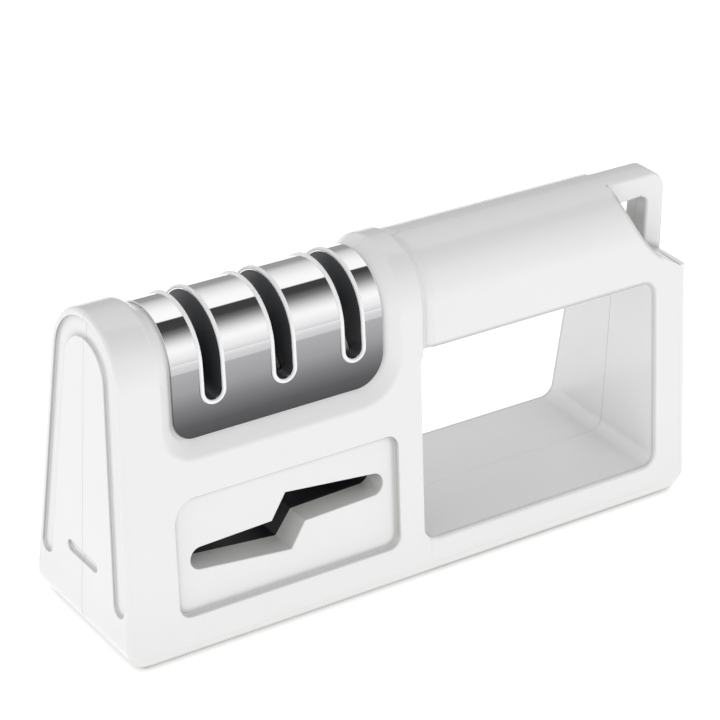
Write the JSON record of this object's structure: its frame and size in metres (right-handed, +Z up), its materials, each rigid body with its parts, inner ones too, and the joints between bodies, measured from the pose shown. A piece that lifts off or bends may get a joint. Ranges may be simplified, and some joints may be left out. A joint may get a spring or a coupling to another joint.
{
  "type": "knife sharpener",
  "caption": "Hand-held knife and scissors sharpener with a bent metal cover over three blade slots, a side slot for scissors and a closed finger window.",
  "frame": {"origin": "middle of the footprint, at the floor under the rubber feet", "axes": "+X along the length from the left end to the hanging loop, -Y out of the side with the scissors panel, +Z up"},
  "size_m": [0.1812, 0.0496, 0.092],
  "materials": {
    "white_abs": "gloss",
    "polished_steel": "polished",
    "black_abs": "satin",
    "carbide": "ground",
    "diamond": "diamond coated",
    "ceramic": "fired ceramic",
    "steel": "satin",
    "foot_rubber": "matte"
  },
  "bodies": {
    "casing": {"front_shell": "white_abs", "rear_shell": "white_abs", "chrome_cover": "polished_steel", "slot_cartridge": "black_abs", "carbide_blade_front": "carbide", "carbide_blade_rear": "carbide", "carbide_holder": "black_abs", "carbide_clamp_screw": "steel", "holder_screws": "steel", "medium_axle": "steel", "fine_axle": "steel", "axle_clips": "steel", "scissors_guide": "black_abs", "rocker_pin": "steel", "rocker_spring": "steel", "unit_screws": "steel", "housing_screws": "steel", "rubber_feet": "foot_rubber"},
    "medium_wheels": {"medium_hub": "black_abs", "medium_wheel_left": "diamond", "medium_wheel_right": "diamond"},
    "fine_wheels": {"fine_hub": "black_abs", "fine_wheel_left": "ceramic", "fine_wheel_right": "ceramic"},
    "rocker": {"scissors_rocker": "black_abs", "scissors_rod": "ceramic"}
  },
  "joints": [
    {"name": "medium_spin", "type": "hinge", "parent": "casing", "child": "medium_wheels", "pos_m": [-0.0403, 0, 0.062], "axis": [1, 0, 0], "continuous": true},
    {"name": "fine_spin", "type": "hinge", "parent": "casing", "child": "fine_wheels", "pos_m": [-0.0194, 0, 0.062], "axis": [1, 0, 0], "continuous": true},
    {"name": "rocker_tilt", "type": "hinge", "parent": "casing", "child": "rocker", "pos_m": [-0.041, 0, 0.0125], "axis": [0, 1, 0], "range_deg": [-4, 4], "stiffness_Nm_per_rad": 0.03, "deforming": ["rocker_spring"]}
  ]
}
